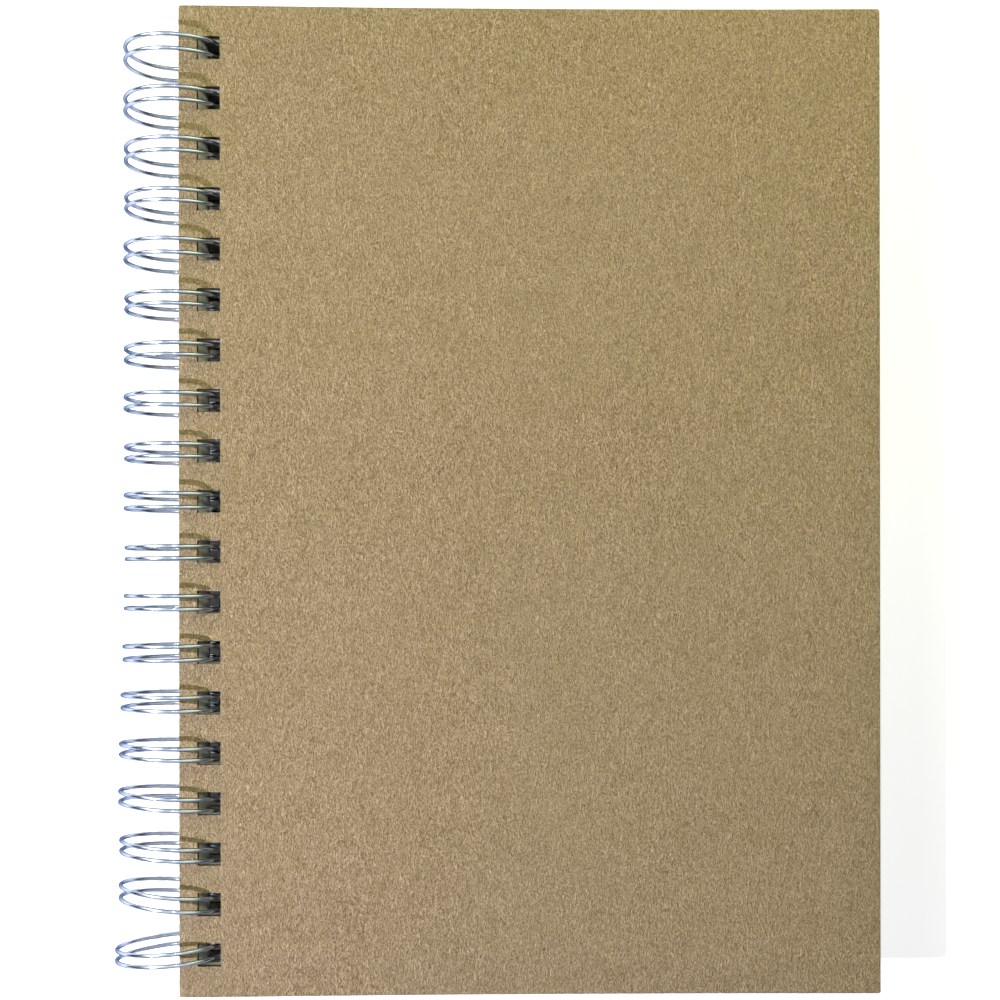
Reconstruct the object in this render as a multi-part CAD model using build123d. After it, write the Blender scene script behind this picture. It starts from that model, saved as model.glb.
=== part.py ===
from build123d import *
import math
import os

# Wire-bound notebook: two board covers and a stack of sheets on nineteen twin wire loops.
# Driving dimensions, in millimetres.
cover_width = 177.5  # spine edge to fore edge
cover_length = 250.0  # head to tail
board_thickness = 2.0
cover_corner_radius = 0.6
block_thickness = 15.0  # about 150 sheets
page_fore_inset = 4.0  # the sheets stop short of the covers at the fore edge
page_end_inset = 3.0  # and at the head and the tail
hole_size = 5.8  # the punched holes are square
hole_margin = 4.65  # spine edge to the near wall of each hole
loop_count = 19
loop_pitch = 12.7
loop_outside_diameter = 28.1
wire_diameter = 1.1
leg_spacing = 2.85  # between the centrelines of a loop's two legs
bend_radius = 1.2  # where a leg turns into the bridge to the next loop
end_stub = 2.0  # straight wire left past the first and the last bend
wire_clearance = 0.25  # between the wire and the nearest wall of a hole
seam_clearance = 0.25  # around the bridges, between the last sheet and the back cover
seam_ramp = 12.0  # length over which the sheets lift off the back cover to clear the bridges

# Heights above the underside of the back cover.
block_bottom = board_thickness
block_top = block_bottom + block_thickness
book_top = block_top + board_thickness

# Distances from the spine edge of the covers.
hole_outer_wall = hole_margin + hole_size
page_fore_edge = cover_width - page_fore_inset

wire_radius = wire_diameter / 2
loop_radius = (loop_outside_diameter - wire_diameter) / 2  # of the wire's centreline
outer_reach = loop_radius + wire_radius + wire_clearance
inner_reach = loop_radius - wire_radius - wire_clearance


def find_loop_centre():
    """Centre of the loops, as (x, z).

    The book hangs on its loops: the wire clears the outer wall of the front cover's holes at that
    cover's inner face, and the inner wall of the back cover's holes at the book's underside.
    """
    across = hole_outer_wall - hole_margin
    span = math.hypot(across, block_top)
    along = (inner_reach**2 - outer_reach**2 + span**2) / (2 * span)
    aside = math.sqrt(inner_reach**2 - along**2)
    unit_x = across / span
    unit_z = block_top / span
    centre_x = hole_margin + along * unit_x - aside * unit_z
    centre_z = along * unit_z + aside * unit_x
    return centre_x, centre_z


loop_x, loop_z = find_loop_centre()

# The bridges between loops lie in a seam just above the back cover.
seam_height = wire_diameter + 2 * seam_clearance
seam_level = block_bottom + seam_height / 2
bridge_distance = math.hypot(loop_radius, bend_radius)
bend_angle = math.atan2(bend_radius, loop_radius)
bridge_angle = math.asin((seam_level - loop_z) / bridge_distance)
bridge_x = loop_x + bridge_distance * math.cos(bridge_angle)

# Each leg runs from its bend, up through the sheets, round the spine and back under to its tip.
tip_radius = leg_spacing / 2
tip_clearance = wire_diameter + 2 * seam_clearance
leg_start = bridge_angle + bend_angle
leg_end = 2 * math.pi + bridge_angle - tip_clearance / loop_radius - math.atan2(tip_radius, loop_radius)

# The origin is under the middle of the whole object, level with the lowest point of the loops.
loop_reach_left = loop_outside_diameter / 2 - loop_x
origin_x = (cover_width - loop_reach_left) / 2
origin_z = loop_z - loop_outside_diameter / 2
to_origin = Pos(-origin_x, 0, -origin_z)


def loop_ys():
    """Places of the loops and of their holes along the spine, from head to tail."""
    first = (loop_count - 1) * loop_pitch / 2
    return [first - number * loop_pitch for number in range(loop_count)]


def hole_cutters(profile):
    """The side view of one hole, given the width of the punch, at each loop."""
    cutter = extrude(profile, amount=hole_size / 2, both=True)
    return [Pos(0, y, 0) * cutter for y in loop_ys()]


def make_cover(underside):
    """A board cover with a row of square holes beside its spine edge."""
    middle = Pos(cover_width / 2, 0, underside)
    outline = RectangleRounded(cover_width, cover_length, cover_corner_radius)
    board = middle * extrude(outline, amount=board_thickness)
    hole_x = hole_margin + hole_size / 2
    hole_z = underside + board_thickness / 2
    hole_side = Plane.XZ * Pos(hole_x, hole_z) * Rectangle(hole_size, 2 * board_thickness)
    return board - hole_cutters(hole_side)


def stack_up_to(edge_x):
    """Side view of the stack of sheets as far as a line through every sheet.

    The sheets are pushed over by the loops they hang on, so the line bows out with the loops'
    curve between its straight ends. It stands at edge_x where the sheets meet the covers.
    """
    lead = cover_width
    straight = Pos((edge_x - lead) / 2, (block_bottom + block_top) / 2) * Rectangle(
        edge_x + lead, block_thickness
    )
    bow_x = loop_x + edge_x - hole_outer_wall
    bow = Pos(bow_x, loop_z) * Circle(outer_reach)
    slab = Pos(bow_x, (block_bottom + block_top) / 2) * Rectangle(4 * outer_reach, block_thickness)
    return straight + (bow & slab)


def seam_profile():
    """Side view of the gap under the sheets, where the bridges and the loops' tips lie."""
    reach = bridge_x + wire_radius + seam_clearance
    roof = block_bottom + seam_height
    corners = [
        (-outer_reach, block_bottom),
        (reach + seam_ramp, block_bottom),
        (reach, roof),
        (-outer_reach, roof),
    ]
    return make_face(Polyline(corners, close=True))


def make_page_block():
    """The stack of punched sheets, as one solid."""
    side = stack_up_to(page_fore_edge) - stack_up_to(0) - seam_profile()
    hole_side = stack_up_to(hole_outer_wall) - stack_up_to(hole_margin)
    page_length = cover_length - 2 * page_end_inset
    block = extrude(Plane.XZ * side, amount=page_length / 2, both=True)
    return block - hole_cutters(Plane.XZ * hole_side)


def on_loop(angle, y, along=0.0):
    """A point at that angle round a loop, moved along the loop's tangent there."""
    x = loop_x + loop_radius * math.cos(angle) - along * math.sin(angle)
    z = loop_z + loop_radius * math.sin(angle) + along * math.cos(angle)
    return Vector(x, y, z)


def bend(leg_y, side):
    """The quarter turn from a leg's foot to its bridge, which leaves towards side along Y."""
    foot = on_loop(leg_start, leg_y)
    slant = bend_radius * math.sqrt(0.5)
    middle = on_loop(leg_start, leg_y + side * (bend_radius - slant), -slant)
    bridge_end = on_loop(leg_start, leg_y + side * bend_radius, -bend_radius)
    return ThreePointArc(foot, middle, bridge_end)


def leg(y):
    """The long arc of one leg, from its foot to its tip."""
    middle = (leg_start + leg_end) / 2
    return ThreePointArc(on_loop(leg_start, y), on_loop(middle, y), on_loop(leg_end, y))


def twin_loop(y):
    """Centreline of one loop: a bend, two legs joined by a round tip, and a bend."""
    near_y = y + tip_radius
    far_y = y - tip_radius
    tip = ThreePointArc(on_loop(leg_end, near_y), on_loop(leg_end, y, tip_radius), on_loop(leg_end, far_y))
    return [bend(near_y, 1), leg(near_y), tip, leg(far_y), bend(far_y, -1)]


def wire_path():
    """Centreline of the whole wire, from the stub at the head to the stub at the tail."""
    edges = []
    side_reach = tip_radius + bend_radius
    for y in loop_ys():
        start_y = y + side_reach
        from_y = start_y + end_stub
        if edges:
            from_y = y + loop_pitch - side_reach
        edges.append(Line(on_loop(leg_start, from_y, -bend_radius), on_loop(leg_start, start_y, -bend_radius)))
        edges.extend(twin_loop(y))
    last_y = loop_ys()[-1] - side_reach
    edges.append(
        Line(on_loop(leg_start, last_y, -bend_radius), on_loop(leg_start, last_y - end_stub, -bend_radius))
    )
    return Wire([edge.edge() for edge in edges])


def make_wire():
    """One continuous round wire, formed into the whole row of loops."""
    path = wire_path()
    section = Plane(origin=path @ 0, z_dir=path % 0) * Circle(wire_radius)
    return sweep(section, path=path)


parts = {
    "back_cover": make_cover(0),
    "page_block": make_page_block(),
    "front_cover": make_cover(block_top),
    "twin_loop_wire": make_wire(),
}
os.makedirs("parts", exist_ok=True)
for name, shape in parts.items():
    export_step(to_origin * shape, f"parts/{name}.step")

print(f"loop centre: x {loop_x - origin_x:.3f}, z {loop_z - origin_z:.3f}")
print(f"back cover underside: z {-origin_z:.3f}, spine edge: x {-origin_x:.3f}")
print(f"book top: z {book_top - origin_z:.3f}")
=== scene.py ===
"""Wire-bound notebook with kraft board covers, on a pale table under soft light."""

import math
import random

import bmesh
import bpy
from mathutils import Matrix, Vector


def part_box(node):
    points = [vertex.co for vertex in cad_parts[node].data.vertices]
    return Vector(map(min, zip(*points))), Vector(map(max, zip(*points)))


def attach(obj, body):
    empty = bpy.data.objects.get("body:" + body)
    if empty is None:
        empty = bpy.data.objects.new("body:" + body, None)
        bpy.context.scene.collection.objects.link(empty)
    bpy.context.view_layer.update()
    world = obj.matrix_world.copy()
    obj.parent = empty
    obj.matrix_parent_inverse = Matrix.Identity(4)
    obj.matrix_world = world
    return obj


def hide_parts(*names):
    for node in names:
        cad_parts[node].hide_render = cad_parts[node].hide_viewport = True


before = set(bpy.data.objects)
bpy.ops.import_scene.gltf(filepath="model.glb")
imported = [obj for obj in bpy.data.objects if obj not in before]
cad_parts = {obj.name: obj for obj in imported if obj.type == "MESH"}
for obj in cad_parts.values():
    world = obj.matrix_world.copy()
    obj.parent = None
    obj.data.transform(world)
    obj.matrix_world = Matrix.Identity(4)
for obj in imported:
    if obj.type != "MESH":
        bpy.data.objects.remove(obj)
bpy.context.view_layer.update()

# Sizes of the real pieces, in metres.
LOOP_COUNT = 19
LOOP_PITCH = 0.0127
WIRE_RADIUS = 0.00055
LEG_SPACING = 0.00285
BEND_RADIUS = 0.0012
END_STUB = 0.002
SEAM_CLEARANCE = 0.00025
SEAM_RAMP = 0.012
HOLE_SIZE = 0.0058
HOLE_MARGIN = 0.00465
WARP = 0.0012  # how far the boards have sagged between the spine and the fore edge
OUTLINE_ROUNDING = 0.0004  # of a board's outer edges
HOLE_ROUNDING = 0.00014  # of the edges that the punch leaves

# How finely the pieces are divided.
BOARD_STRIPS = 24
LIFTS = 60  # of sheets in the stack
LIFT_STRAY = 0.00012  # how far a lift may be out of line, in metres
WIRE_SIDES = 12

TABLE_GLOW = 0.74  # what the eye and the metal see of the table, beyond the light that falls on it

back_low, back_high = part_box("back_cover")
front_low, front_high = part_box("front_cover")
block_low, block_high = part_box("page_block")
wire_low, wire_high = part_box("twin_loop_wire")

loop_outer_radius = (wire_high.z - wire_low.z) / 2
loop_radius = loop_outer_radius - WIRE_RADIUS
loop_x = wire_low.x + loop_outer_radius
loop_z = wire_low.z + loop_outer_radius
spine_x = front_low.x
hole_inner_x = spine_x + HOLE_MARGIN
hole_outer_x = hole_inner_x + HOLE_SIZE
seam_height = 2 * WIRE_RADIUS + 2 * SEAM_CLEARANCE
loop_ys = [(LOOP_COUNT - 1) * LOOP_PITCH / 2 - n * LOOP_PITCH for n in range(LOOP_COUNT)]


# ---------------------------------------------------------------- the table and its tilt

def table_tilt():
    """The table's slope in the book's frame: the book stands on its loops and on its warped back cover."""
    width = back_high.x - hole_outer_x
    clearance = back_low.z - (hole_outer_x - loop_x) * back_low.z / (back_high.x - loop_x)
    return math.atan(4 * (math.sqrt(WARP * clearance) - WARP) / width)


tilt = table_tilt()
contact = Vector((loop_x + loop_outer_radius * math.sin(tilt), 0,
                  loop_z - loop_outer_radius * math.cos(tilt)))
table = Matrix.Translation(contact) @ Matrix.Rotation(-tilt, 4, "Y")


# ---------------------------------------------------------------- materials

class Graph:
    """A small helper that adds nodes to one material and links them."""

    def __init__(self, name):
        self.material = bpy.data.materials.new(name)
        self.material.use_nodes = True
        self.tree = self.material.node_tree
        self.shader = self.tree.nodes["Principled BSDF"]
        self.coordinates = self.tree.nodes.new("ShaderNodeTexCoord").outputs["Object"]

    def add(self, kind, inputs=None, **settings):
        node = self.tree.nodes.new(kind)
        for key, value in settings.items():
            setattr(node, key, value)
        for key, value in (inputs or {}).items():
            self.put(node.inputs[key], value)
        return node

    def put(self, socket, value):
        if isinstance(value, bpy.types.NodeSocket):
            self.tree.links.new(value, socket)
        else:
            socket.default_value = value

    def mapped(self, turn, stretch):
        """Coordinates turned about Z, and squeezed so that a pattern is drawn out along the turned Y."""
        node = self.add("ShaderNodeMapping", {"Vector": self.coordinates})
        node.inputs["Rotation"].default_value = (0, 0, math.radians(turn))
        node.inputs["Scale"].default_value = (1, stretch, 1)
        return node.outputs["Vector"]

    def noise(self, vector, scale, detail=2.0, roughness=0.5, distortion=0.0):
        inputs = {"Vector": vector, "Scale": scale, "Detail": detail, "Roughness": roughness,
                  "Distortion": distortion}
        return self.add("ShaderNodeTexNoise", inputs).outputs["Fac"]

    def ridge(self, vector, scale, width):
        """Thin winding lines, where a noise crosses its middle value."""
        away = self.math("ABSOLUTE", self.math("SUBTRACT", self.noise(vector, scale, 1, 0.5, 0.8), 0.5))
        return self.spread(away, 0.0, width, 1.0, 0.0)

    def math(self, operation, a, b=0.0):
        node = self.add("ShaderNodeMath", operation=operation)
        self.put(node.inputs[0], a)
        self.put(node.inputs[1], b)
        return node.outputs[0]

    def spread(self, value, low, high, to_low=0.0, to_high=1.0):
        inputs = {"Value": value, "From Min": low, "From Max": high, "To Min": to_low, "To Max": to_high}
        return self.add("ShaderNodeMapRange", inputs).outputs["Result"]

    def mix(self, factor, a, b):
        node = self.add("ShaderNodeMix", data_type="RGBA")
        self.put(node.inputs[0], factor)
        self.put(node.inputs[6], a)
        self.put(node.inputs[7], b)
        return node.outputs[2]

    def bump(self, height, distance, strength=1.0):
        inputs = {"Height": height, "Distance": distance, "Strength": strength}
        normal = self.add("ShaderNodeBump", inputs).outputs["Normal"]
        self.tree.links.new(normal, self.shader.inputs["Normal"])


def kraft_board(name, shift):
    """Matt recycled kraft: wrinkled fibres, soft mottling, a few dark flecks, and darker cut edges."""
    g = Graph(name)
    moved = g.add("ShaderNodeVectorMath", operation="ADD")
    g.put(moved.inputs[0], g.coordinates)
    moved.inputs[1].default_value = (shift, shift, 0)
    g.coordinates = moved.outputs[0]

    # Short wrinkles between the fibres are dark and the fibres that lie on top are light: partly the
    # fibres' own colour, partly painted shade in the wrinkles and painted light on the raised fibres, in
    # step with the relief.
    furrow = g.math("MAXIMUM", g.ridge(g.mapped(14, 0.42), 1350, 0.11),
                    g.ridge(g.mapped(-27, 0.45), 1500, 0.09))
    strand = g.math("MAXIMUM", g.ridge(g.mapped(-12, 0.42), 1250, 0.11),
                    g.ridge(g.mapped(38, 0.5), 1600, 0.09))
    grain = g.noise(g.mapped(6, 0.55), 3300, 1, 0.5, 0.4)
    tone = g.math("SUBTRACT", strand, furrow)
    fibres = g.math("ADD", g.math("MULTIPLY", tone, 0.38), g.math("MULTIPLY", grain, 1.6))

    patches = g.noise(g.coordinates, 90, 3, 0.55)
    cloud = g.noise(g.coordinates, 17, 2, 0.5)

    dark = (0.222, 0.145, 0.044, 1)
    light = (0.74, 0.58, 0.374, 1)
    colour = g.mix(g.spread(fibres, 0.24, 1.34), dark, light)
    colour = g.mix(g.spread(patches, 0.35, 0.65, 0.0, 0.16), colour, (0.38, 0.29, 0.125, 1))
    colour = g.mix(g.spread(cloud, 0.35, 0.65, 0.0, 0.16), colour, (0.49, 0.39, 0.225, 1))

    # Single long fibres: the thin contour lines of a noise, broken up by a second one.
    line = g.ridge(g.mapped(20, 0.7), 210, 0.014)
    broken = g.spread(g.noise(g.coordinates, 420, 1), 0.58, 0.62)
    hair = g.math("MULTIPLY", line, broken)
    colour = g.mix(g.math("MULTIPLY", hair, 0.5), colour, (0.17, 0.115, 0.05, 1))

    # Flecks: the middles of a few stretched cells.
    cells = g.add("ShaderNodeTexVoronoi", {"Vector": g.mapped(25, 0.7), "Scale": 400.0})
    fleck = g.spread(cells.outputs["Distance"], 0.05, 0.1, 1.0, 0.0)
    chosen = g.add("ShaderNodeSeparateColor", {"Color": cells.outputs["Color"]}).outputs[0]
    fleck = g.math("MULTIPLY", fleck, g.math("GREATER_THAN", chosen, 0.84))
    colour = g.mix(g.math("MULTIPLY", fleck, 0.7), colour, (0.06, 0.042, 0.02, 1))

    # The cut edges show the board's pressed layers.
    normal = g.add("ShaderNodeNewGeometry").outputs["True Normal"]
    facing = g.add("ShaderNodeSeparateXYZ", {"Vector": normal}).outputs["Z"]
    edge = g.spread(g.math("ABSOLUTE", facing), 0.2, 0.45, 1.0, 0.0)
    layers = g.add("ShaderNodeMapping", {"Vector": g.coordinates})
    layers.inputs["Scale"].default_value = (0.12, 0.12, 4)
    core = g.mix(g.noise(layers.outputs["Vector"], 900, 3, 0.6), (0.06, 0.042, 0.022, 1),
                 (0.19, 0.135, 0.07, 1))
    colour = g.mix(edge, colour, core)

    g.put(g.shader.inputs["Base Color"], colour)
    g.put(g.shader.inputs["Roughness"], 0.86)
    g.put(g.shader.inputs["Specular IOR Level"], 0.25)
    relief = g.math("ADD", g.math("MULTIPLY", tone, 0.6), g.math("MULTIPLY", grain, 0.35))
    g.bump(g.math("SUBTRACT", relief, g.math("MULTIPLY", hair, 0.3)), 0.0003, 0.9)
    return g.material


def page_paper():
    """Uncoated paper: nearly plain on the face, with fine shaded lines between sheets on the cut edges."""
    g = Graph("page_paper")
    grain = g.noise(g.coordinates, 2600, 3, 0.6)
    tone = g.noise(g.coordinates, 45, 2, 0.5)
    face = g.mix(tone, (0.79, 0.77, 0.71, 1), (0.83, 0.815, 0.765, 1))
    sheets = g.add("ShaderNodeMapping", {"Vector": g.coordinates})
    sheets.inputs["Scale"].default_value = (0.05, 0.05, 8)
    lines = g.noise(sheets.outputs["Vector"], 1100, 3, 0.7)
    side = g.mix(g.spread(lines, 0.3, 0.7), (0.5, 0.47, 0.41, 1), (0.84, 0.82, 0.76, 1))
    normal = g.add("ShaderNodeNewGeometry").outputs["True Normal"]
    facing = g.add("ShaderNodeSeparateXYZ", {"Vector": normal}).outputs["Z"]
    edge = g.spread(g.math("ABSOLUTE", facing), 0.5, 0.9, 1.0, 0.0)

    # Down the punched holes the topmost sheets' edges are painted paler than the other cut edges as
    # painted light, with a painted shadow line in the gap between two of them. Further down they are
    # painted nearly black as painted shade, so little light comes back from them.
    place = g.add("ShaderNodeSeparateXYZ", {"Vector": g.coordinates})
    beyond = g.math("LESS_THAN", place.outputs["X"], hole_outer_x + 0.003)
    inside = g.math("MULTIPLY", g.math("GREATER_THAN", place.outputs["X"], hole_inner_x - 0.0005), beyond)
    ends = g.math("LESS_THAN", g.math("ABSOLUTE", place.outputs["Y"]), block_high.y - 0.001)
    inside = g.math("MULTIPLY", inside, ends)
    depth = g.math("SUBTRACT", block_high.z, place.outputs["Z"])
    # painted light: the hole walls are made paler than the other cut edges
    side = g.mix(g.math("MULTIPLY", inside, 0.75), side, (0.93, 0.94, 0.9, 1))
    # painted shade: a dark line at 1.9 mm depth, and the walls from 2.5 mm down painted nearly black
    gap = g.spread(g.math("ABSOLUTE", g.math("SUBTRACT", depth, 0.0019)), 0.0001, 0.0003, 0.85, 0.0)
    deep_shade = g.spread(depth, 0.0025, 0.0036, 0.0, 0.97)
    side = g.mix(g.math("MULTIPLY", inside, g.math("MAXIMUM", deep_shade, gap)), side, (0.02, 0.02, 0.018, 1))
    g.put(g.shader.inputs["Base Color"], g.mix(edge, face, side))
    g.put(g.shader.inputs["Roughness"], 0.8)
    g.put(g.shader.inputs["Specular IOR Level"], 0.3)
    g.bump(g.math("ADD", grain, g.math("MULTIPLY", lines, edge)), 0.00003, 0.5)
    return g.material


def bright_wire():
    """Drawn steel wire with a bright, faintly streaked surface."""
    g = Graph("bright_wire")
    streaks = g.noise(g.mapped(0, 3.0), 900, 3, 0.6)
    g.put(g.shader.inputs["Base Color"], g.mix(streaks, (0.42, 0.49, 0.6, 1), (0.52, 0.59, 0.69, 1)))
    g.put(g.shader.inputs["Metallic"], 1.0)
    g.put(g.shader.inputs["Specular Tint"], (0.1, 0.13, 0.2, 1))
    g.put(g.shader.inputs["Roughness"], g.spread(streaks, 0.3, 0.7, 0.14, 0.26))
    g.bump(streaks, 0.00001, 0.35)
    return g.material


# ---------------------------------------------------------------- pieces

def add_piece(name, mesh, material, body, node, smooth_below=None):
    piece = bpy.data.objects.new(name, mesh)
    bpy.context.scene.collection.objects.link(piece)
    piece.data.materials.clear()
    piece.data.materials.append(material)
    if smooth_below is not None:
        mesh.shade_smooth()
        mesh.set_sharp_from_angle(angle=math.radians(smooth_below))
    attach(piece, body)
    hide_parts(node)
    return piece


def sag(x):
    """How far the book droops between its spine and its fore edge, where the boards have warped."""
    share = min(1.0, max(0.0, (x - hole_outer_x) / (back_high.x - hole_outer_x)))
    return 4 * WARP * share * (1 - share)


def softened_board(node):
    """The cover's board from the frame, warped, with the slightly crushed edges that a die leaves."""
    shape = bmesh.new()
    shape.from_mesh(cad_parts[node].data)
    bmesh.ops.remove_doubles(shape, verts=shape.verts, dist=1e-6)
    bmesh.ops.dissolve_limit(shape, angle_limit=math.radians(1), verts=shape.verts, edges=shape.edges)
    for n in range(BOARD_STRIPS):
        cut = hole_outer_x + 0.001 + (back_high.x - 0.002 - hole_outer_x) * n / BOARD_STRIPS
        everything = [*shape.verts, *shape.edges, *shape.faces]
        bmesh.ops.bisect_plane(shape, geom=everything, plane_co=(cut, 0, 0), plane_no=(1, 0, 0), dist=1e-7)
    low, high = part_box(node)

    def on_outline(edge):
        middle = (edge.verts[0].co + edge.verts[1].co) / 2
        inset = min(middle.x - low.x, high.x - middle.x, middle.y - low.y, high.y - middle.y)
        return inset < 0.001

    for outline, rounding in ((True, OUTLINE_ROUNDING), (False, HOLE_ROUNDING)):
        corners = [e for e in shape.edges if e.is_manifold and e.calc_face_angle() > math.radians(60)]
        corners = [e for e in corners if on_outline(e) == outline]
        bmesh.ops.bevel(shape, geom=corners, offset=rounding, segments=4, profile=0.5, affect="EDGES",
                        clamp_overlap=True)
    bmesh.ops.triangulate(shape, faces=shape.faces)
    for vert in shape.verts:
        vert.co.z -= sag(vert.co.x)
    mesh = bpy.data.meshes.new(node + "_board")
    shape.to_mesh(mesh)
    shape.free()
    return mesh


def bow(z):
    """How far the loops push a sheet at that height away from the spine."""
    straight = hole_outer_x - loop_x
    reach = math.hypot(straight, block_high.z - loop_z)
    inside = reach**2 - (z - loop_z) ** 2
    return max(0.0, math.sqrt(max(0.0, inside)) - straight)


def seam_lift(x):
    """How far the lowest sheet stands above the back cover, to clear the wire's bridges near the spine."""
    level = block_low.z + seam_height / 2 - loop_z
    reach = loop_x + math.sqrt(loop_radius**2 - level**2) + WIRE_RADIUS + SEAM_CLEARANCE
    share = min(1.0, max(0.0, (x - reach) / SEAM_RAMP))
    return seam_height * (1 - share)


def page_stack():
    """The sheets in thin lifts, each a little out of line with the next, as one mesh."""
    rng = random.Random(4)
    page_length = block_high.y - block_low.y
    fore_x = spine_x + (block_high.x - spine_x) - bow(loop_z)
    ramp_steps = [hole_outer_x + SEAM_RAMP * n / 3 for n in range(1, 4)]
    warp_steps = [hole_outer_x + (fore_x - hole_outer_x) * n / 9 for n in range(2, 9)]
    xs = [spine_x, hole_inner_x, hole_outer_x, *ramp_steps, *warp_steps, fore_x]
    ys = [-page_length / 2, page_length / 2]
    for y in loop_ys:
        ys += [y - HOLE_SIZE / 2, y + HOLE_SIZE / 2]
    ys.sort()

    def solid(i, j):
        if not (0 <= i < len(xs) - 1 and 0 <= j < len(ys) - 1):
            return False
        middle_x = (xs[i] + xs[i + 1]) / 2
        return not (hole_inner_x < middle_x < hole_outer_x and j % 2 == 1)

    points, faces = [], []
    depth = block_high.z - block_low.z
    for lift in range(LIFTS):
        first = len(points)
        shift_x = max(-LIFT_STRAY, min(LIFT_STRAY, rng.gauss(0, LIFT_STRAY / 2)))
        shift_y = max(-LIFT_STRAY, min(LIFT_STRAY, rng.gauss(0, LIFT_STRAY / 2)))
        beside_loops = block_high.z - (depth - seam_height) * (lift + 0.5) / LIFTS
        for share in (lift / LIFTS, (lift + 1) / LIFTS):
            for x in xs:
                z = block_high.z - share * (depth - seam_lift(x)) - sag(x)
                points += [(x + bow(beside_loops) + shift_x, y + shift_y, z) for y in ys]
        layer = len(xs) * len(ys)

        def corner(i, j, below):
            return first + below * layer + i * len(ys) + j

        for i in range(len(xs) - 1):
            for j in range(len(ys) - 1):
                if not solid(i, j):
                    continue
                ring = [(i, j), (i + 1, j), (i + 1, j + 1), (i, j + 1)]
                faces.append([corner(*p, 0) for p in ring])
                faces.append([corner(*p, 1) for p in reversed(ring)])
                beside = [(i, j - 1), (i + 1, j), (i, j + 1), (i - 1, j)]
                for side, cell in enumerate(beside):
                    if not solid(*cell):
                        a, b = ring[side], ring[(side + 1) % 4]
                        faces.append([corner(*b, 0), corner(*a, 0), corner(*a, 1), corner(*b, 1)])
    mesh = bpy.data.meshes.new("page_stack")
    mesh.from_pydata(points, [], faces)
    mesh.update()
    shape = bmesh.new()
    shape.from_mesh(mesh)
    loose = [v for v in shape.verts if not v.link_faces]
    bmesh.ops.delete(shape, geom=loose, context="VERTS")
    shape.to_mesh(mesh)
    shape.free()
    return mesh


def seam_angles():
    """Angles round the loop at which a leg's foot starts and its tip begins to turn."""
    level = block_low.z + seam_height / 2 - loop_z
    distance = math.hypot(loop_radius, BEND_RADIUS)
    bridge = math.asin(level / distance)
    foot = bridge + math.atan2(BEND_RADIUS, loop_radius)
    tip_reach = seam_height / loop_radius + math.atan2(LEG_SPACING / 2, loop_radius)
    return foot, 2 * math.pi + bridge - tip_reach


def hand_formed(number, rng):
    """How one loop differs from a perfect one: its gap, sideways shift, yaw, and how far it is pulled out.

    As in the photo, the first pair stands wider, the last loops lean towards the head, and the very
    last leans the other way.
    """
    along = number / (LOOP_COUNT - 1)
    ramp = min(1.0, max(0.0, (along - 0.6) / 0.18))
    last = number == LOOP_COUNT - 1
    lean = 0.0 if last else max(0.0, (number - 13) / 4)
    return {
        "gap": rng.uniform(0.92, 1.16) + 0.15 * (number == 0),
        "shift": rng.uniform(-0.00014, 0.00014) - 0.00015 + 0.00055 * lean**2 + 0.00035 * last,
        "yaw": rng.uniform(-0.012, 0.012) + 0.1 * lean - 0.065 * last,
        "pull": rng.uniform(-0.0002, 0.0002) - 0.0011 + 0.0015 * ramp + 0.0009 * last,
    }


def wire_points():
    """Centreline of the whole wire, from its stub at the head to its stub at the tail."""
    foot, end = seam_angles()
    rng = random.Random(11)
    points = []

    def place(angle, loop, side_y, along):
        """A point round the loop, at side_y beside the loop's middle and moved along its tangent."""
        cos, sin = math.cos(angle), math.sin(angle)
        x = loop_radius * cos - along * sin - loop["pull"] * max(0.0, -cos) ** 2
        z = loop_radius * sin + along * cos
        taper = 1 + 0.05 * sin
        y = loop["y"] + loop["shift"] * (1 - 0.6 * max(0.0, -sin)) + side_y * loop["gap"] * taper
        return Vector((loop_x + x, y - loop["yaw"] * (x - loop_radius / 2), loop_z + z))

    half = LEG_SPACING / 2
    leg_steps, bend_steps, tip_steps = 84, 8, 12
    for number, y in enumerate(loop_ys):
        loop = hand_formed(number, rng)
        loop["y"] = y
        if number == 0:
            points.append(place(foot, loop, half + BEND_RADIUS + END_STUB, -BEND_RADIUS))
        for n in range(bend_steps):
            turn = math.pi / 2 * n / bend_steps
            points.append(place(foot, loop, half + BEND_RADIUS * (1 - math.sin(turn)),
                                -BEND_RADIUS * math.cos(turn)))
        for n in range(leg_steps):
            points.append(place(foot + (end - foot) * n / leg_steps, loop, half, 0))
        for n in range(tip_steps):
            turn = math.pi * n / tip_steps
            points.append(place(end, loop, half * math.cos(turn), half * math.sin(turn)))
        for n in range(leg_steps):
            points.append(place(end + (foot - end) * n / leg_steps, loop, -half, 0))
        for n in range(bend_steps + 1):
            turn = math.pi / 2 * n / bend_steps
            points.append(place(foot, loop, -half - BEND_RADIUS * (1 - math.cos(turn)),
                                -BEND_RADIUS * math.sin(turn)))
        if number == LOOP_COUNT - 1:
            points.append(place(foot, loop, -half - BEND_RADIUS - END_STUB, -BEND_RADIUS))
    return points


def tube(name, points, radius):
    """A round tube along a line of points, closed at both ends."""
    sides = WIRE_SIDES
    verts, faces = [], []
    across = Vector((0, 0, 1))
    for n, point in enumerate(points):
        ahead = points[min(n + 1, len(points) - 1)] - points[max(n - 1, 0)]
        ahead.normalize()
        across = (across - ahead * across.dot(ahead)).normalized()
        beside = ahead.cross(across)
        for k in range(sides):
            turn = 2 * math.pi * k / sides
            verts.append(point + radius * (math.cos(turn) * across + math.sin(turn) * beside))
        if n:
            here, before = n * sides, (n - 1) * sides
            for k in range(sides):
                following = (k + 1) % sides
                faces.append([before + k, before + following, here + following, here + k])
    faces.append(list(range(sides))[::-1])
    faces.append([(len(points) - 1) * sides + k for k in range(sides)])
    mesh = bpy.data.meshes.new(name)
    mesh.from_pydata(verts, [], faces)
    mesh.update()
    return mesh


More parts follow.
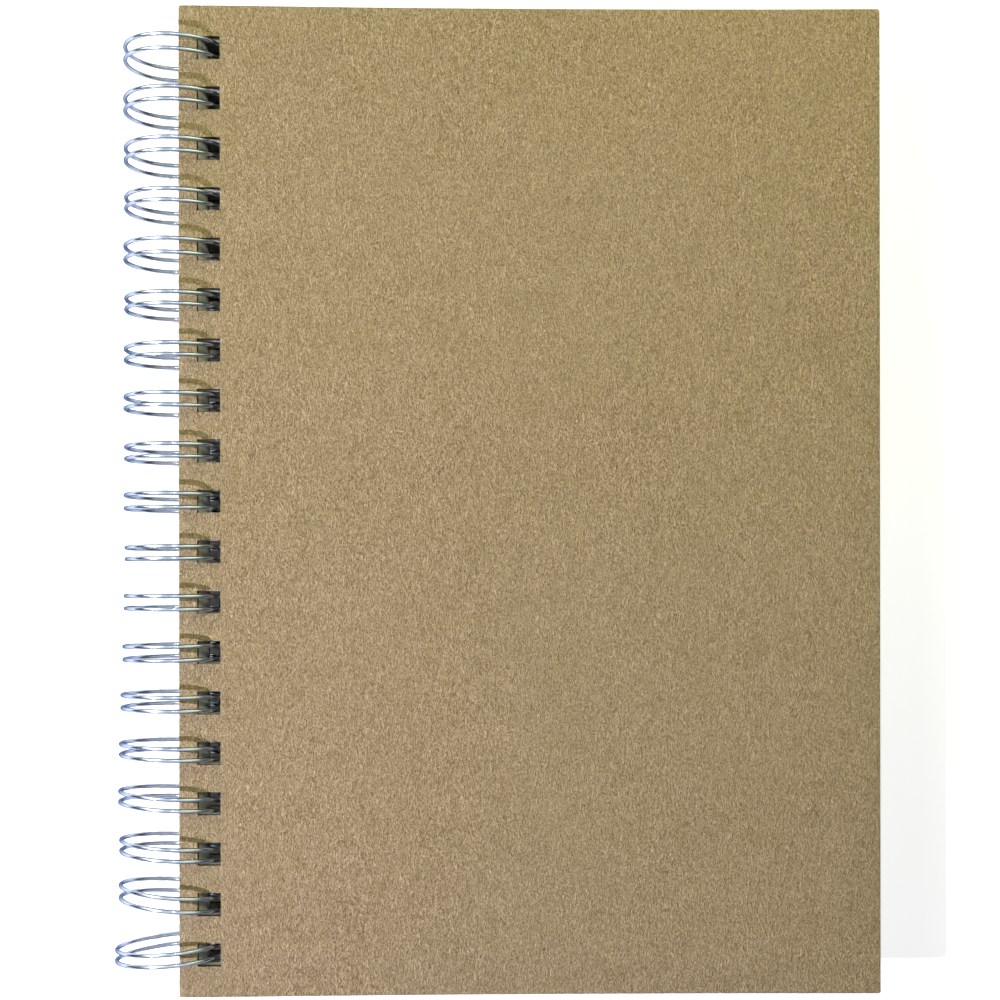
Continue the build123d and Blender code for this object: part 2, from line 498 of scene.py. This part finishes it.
def build_notebook():
    board_front = kraft_board("kraft_front", 0.0)
    board_back = kraft_board("kraft_back", 0.37)
    add_piece("front_board", softened_board("front_cover"), board_front, "front",
              "front_cover", 25)
    add_piece("back_board", softened_board("back_cover"), board_back, "base",
              "back_cover", 25)
    add_piece("sheet_stack", page_stack(), page_paper(), "pages", "page_block")
    add_piece("loop_wire", tube("loop_wire", wire_points(), WIRE_RADIUS), bright_wire(), "base",
              "twin_loop_wire", 60)


# ---------------------------------------------------------------- stage, light and camera

def add_table():
    """A white table that keeps the book's soft shadow."""
    size = 6.0
    mesh = bpy.data.meshes.new("table_top")
    corners = [(-size, -size, 0), (size, -size, 0), (size, size, 0), (-size, size, 0)]
    mesh.from_pydata([table @ Vector(c) for c in corners], [], [(0, 1, 2, 3)])
    floor = bpy.data.objects.new("table_top", mesh)
    bpy.context.scene.collection.objects.link(floor)
    floor.data.materials.append(table_white())


def table_white():
    """Matt white. The eye and the metal see it glow, but not the part that lies under the book."""
    g = Graph("table_white")
    g.put(g.shader.inputs["Base Color"], (0.88, 0.88, 0.88, 1))
    g.put(g.shader.inputs["Roughness"], 0.9)
    g.put(g.shader.inputs["Specular IOR Level"], 0.0)
    g.put(g.shader.inputs["Emission Color"], (0.87, 0.87, 1, 1))
    place = g.add("ShaderNodeSeparateXYZ", {"Vector": g.coordinates})
    margin = 0.002
    right_of_spine = g.math("GREATER_THAN", place.outputs["X"], back_low.x + margin)
    left_of_fore_edge = g.math("LESS_THAN", place.outputs["X"], back_high.x - margin)
    between_ends = g.math("LESS_THAN", g.math("ABSOLUTE", place.outputs["Y"]), back_high.y - margin)
    under = g.math("MULTIPLY", g.math("MULTIPLY", right_of_spine, left_of_fore_edge), between_ends)
    path = g.add("ShaderNodeLightPath")
    seen = g.math("MAXIMUM", path.outputs["Is Camera Ray"], path.outputs["Is Glossy Ray"])
    seen = g.math("MAXIMUM", seen, path.outputs["Is Transmission Ray"])
    strength = g.math("MULTIPLY", g.math("SUBTRACT", seen, g.math("MULTIPLY", seen, under)), TABLE_GLOW)
    g.put(g.shader.inputs["Emission Strength"], strength)
    return g.material


def add_lamp(name, towards, distance, size, share, colour):
    """A round lamp, seen from the book in direction towards, that gives that share of a full exposure."""
    direction = Vector(towards).normalized()
    aim = table @ Vector((back_high.x - loop_x, 0, 0)) / 2 + contact / 2
    lamp = bpy.data.lights.new(name, "AREA")
    lamp.shape = "DISK"
    lamp.size = size
    lamp.color = colour
    lamp.energy = share * math.pi**2 * distance**2 / direction.z
    holder = bpy.data.objects.new(name, lamp)
    bpy.context.scene.collection.objects.link(holder)
    offset = table.to_3x3() @ (direction * distance)
    holder.location = aim + offset
    holder.rotation_euler = offset.to_track_quat("Z", "Y").to_euler()


def add_light():
    add_lamp("key", (-0.9, -0.55, 1.0), 0.6, 0.011, 0.49, (0.97, 0.94, 1.25))
    add_lamp("top", (0.05, 0.27, 1.0), 0.8, 0.03, 0.13, (1.0, 1.05, 0.75))
    add_lamp("left", (-1.0, 0.6, 0.9), 0.5, 0.35, 0.24, (1.05, 1.08, 0.8))
    add_lamp("upper_right", (0.7, 1.0, 0.8), 0.4, 0.3, 0.145, (1.08, 1.12, 0.38))
    add_world()


def add_world():
    """A dim warm room for the matt surfaces, and a white one, darker low down, that the metal reflects."""
    world = bpy.data.worlds.new("studio")
    bpy.context.scene.world = world
    world.use_nodes = True
    tree = world.node_tree
    path = tree.nodes.new("ShaderNodeLightPath")

    def choose(factor, first, second):
        node = tree.nodes.new("ShaderNodeMixShader")
        for socket, value in zip(node.inputs, (factor, first, second)):
            tree.links.new(value, socket)
        return node.outputs[0]

    def background(colour, strength):
        node = tree.nodes.new("ShaderNodeBackground")
        node.inputs["Color"].default_value = (*colour, 1)
        node.inputs["Strength"].default_value = strength
        return node.outputs[0]

    room = tree.nodes["Background"]
    room.inputs["Color"].default_value = (1.0, 0.95, 0.8, 1)
    room.inputs["Strength"].default_value = 0.06
    white = background((1, 1, 1), 1.0)
    height = tree.nodes.new("ShaderNodeSeparateXYZ")
    tree.links.new(tree.nodes.new("ShaderNodeTexCoord").outputs["Generated"], height.inputs[0])
    rise = tree.nodes.new("ShaderNodeMapRange")
    tree.links.new(height.outputs["Z"], rise.inputs["Value"])
    rise.inputs["From Min"].default_value = 0.3
    rise.inputs["From Max"].default_value = 0.75
    reflected = choose(rise.outputs["Result"], background((0.55, 0.7, 1.0), 0.1), white)
    surface = choose(path.outputs["Is Glossy Ray"], room.outputs[0], reflected)
    surface = choose(path.outputs["Is Transmission Ray"], surface, white)
    surface = choose(path.outputs["Is Camera Ray"], surface, white)
    tree.links.new(surface, tree.nodes["World Output"].inputs["Surface"])


def add_camera():
    """Looks straight down at the table, as the photographer did, over the book's lower half."""
    distance = 0.4
    frame_width = 0.2527
    roll = -0.0012
    shift = 0.09
    camera = bpy.data.cameras.new("camera")
    camera.sensor_width = 36
    camera.lens = camera.sensor_width * distance / frame_width
    camera.shift_y = shift
    holder = bpy.data.objects.new("camera", camera)
    bpy.context.scene.collection.objects.link(holder)
    aim = Vector((spine_x + 0.0809, 0.0003 - shift * frame_width, front_high.z))
    up = table.to_3x3() @ Vector((0, 0, 1))
    turned = table.to_3x3().to_4x4() @ Matrix.Rotation(roll, 4, "Z")
    holder.matrix_world = Matrix.Translation(aim + up * distance) @ turned
    bpy.context.scene.camera = holder


build_notebook()
add_table()
add_light()
add_camera()
bpy.context.scene.view_settings.view_transform = "Standard"
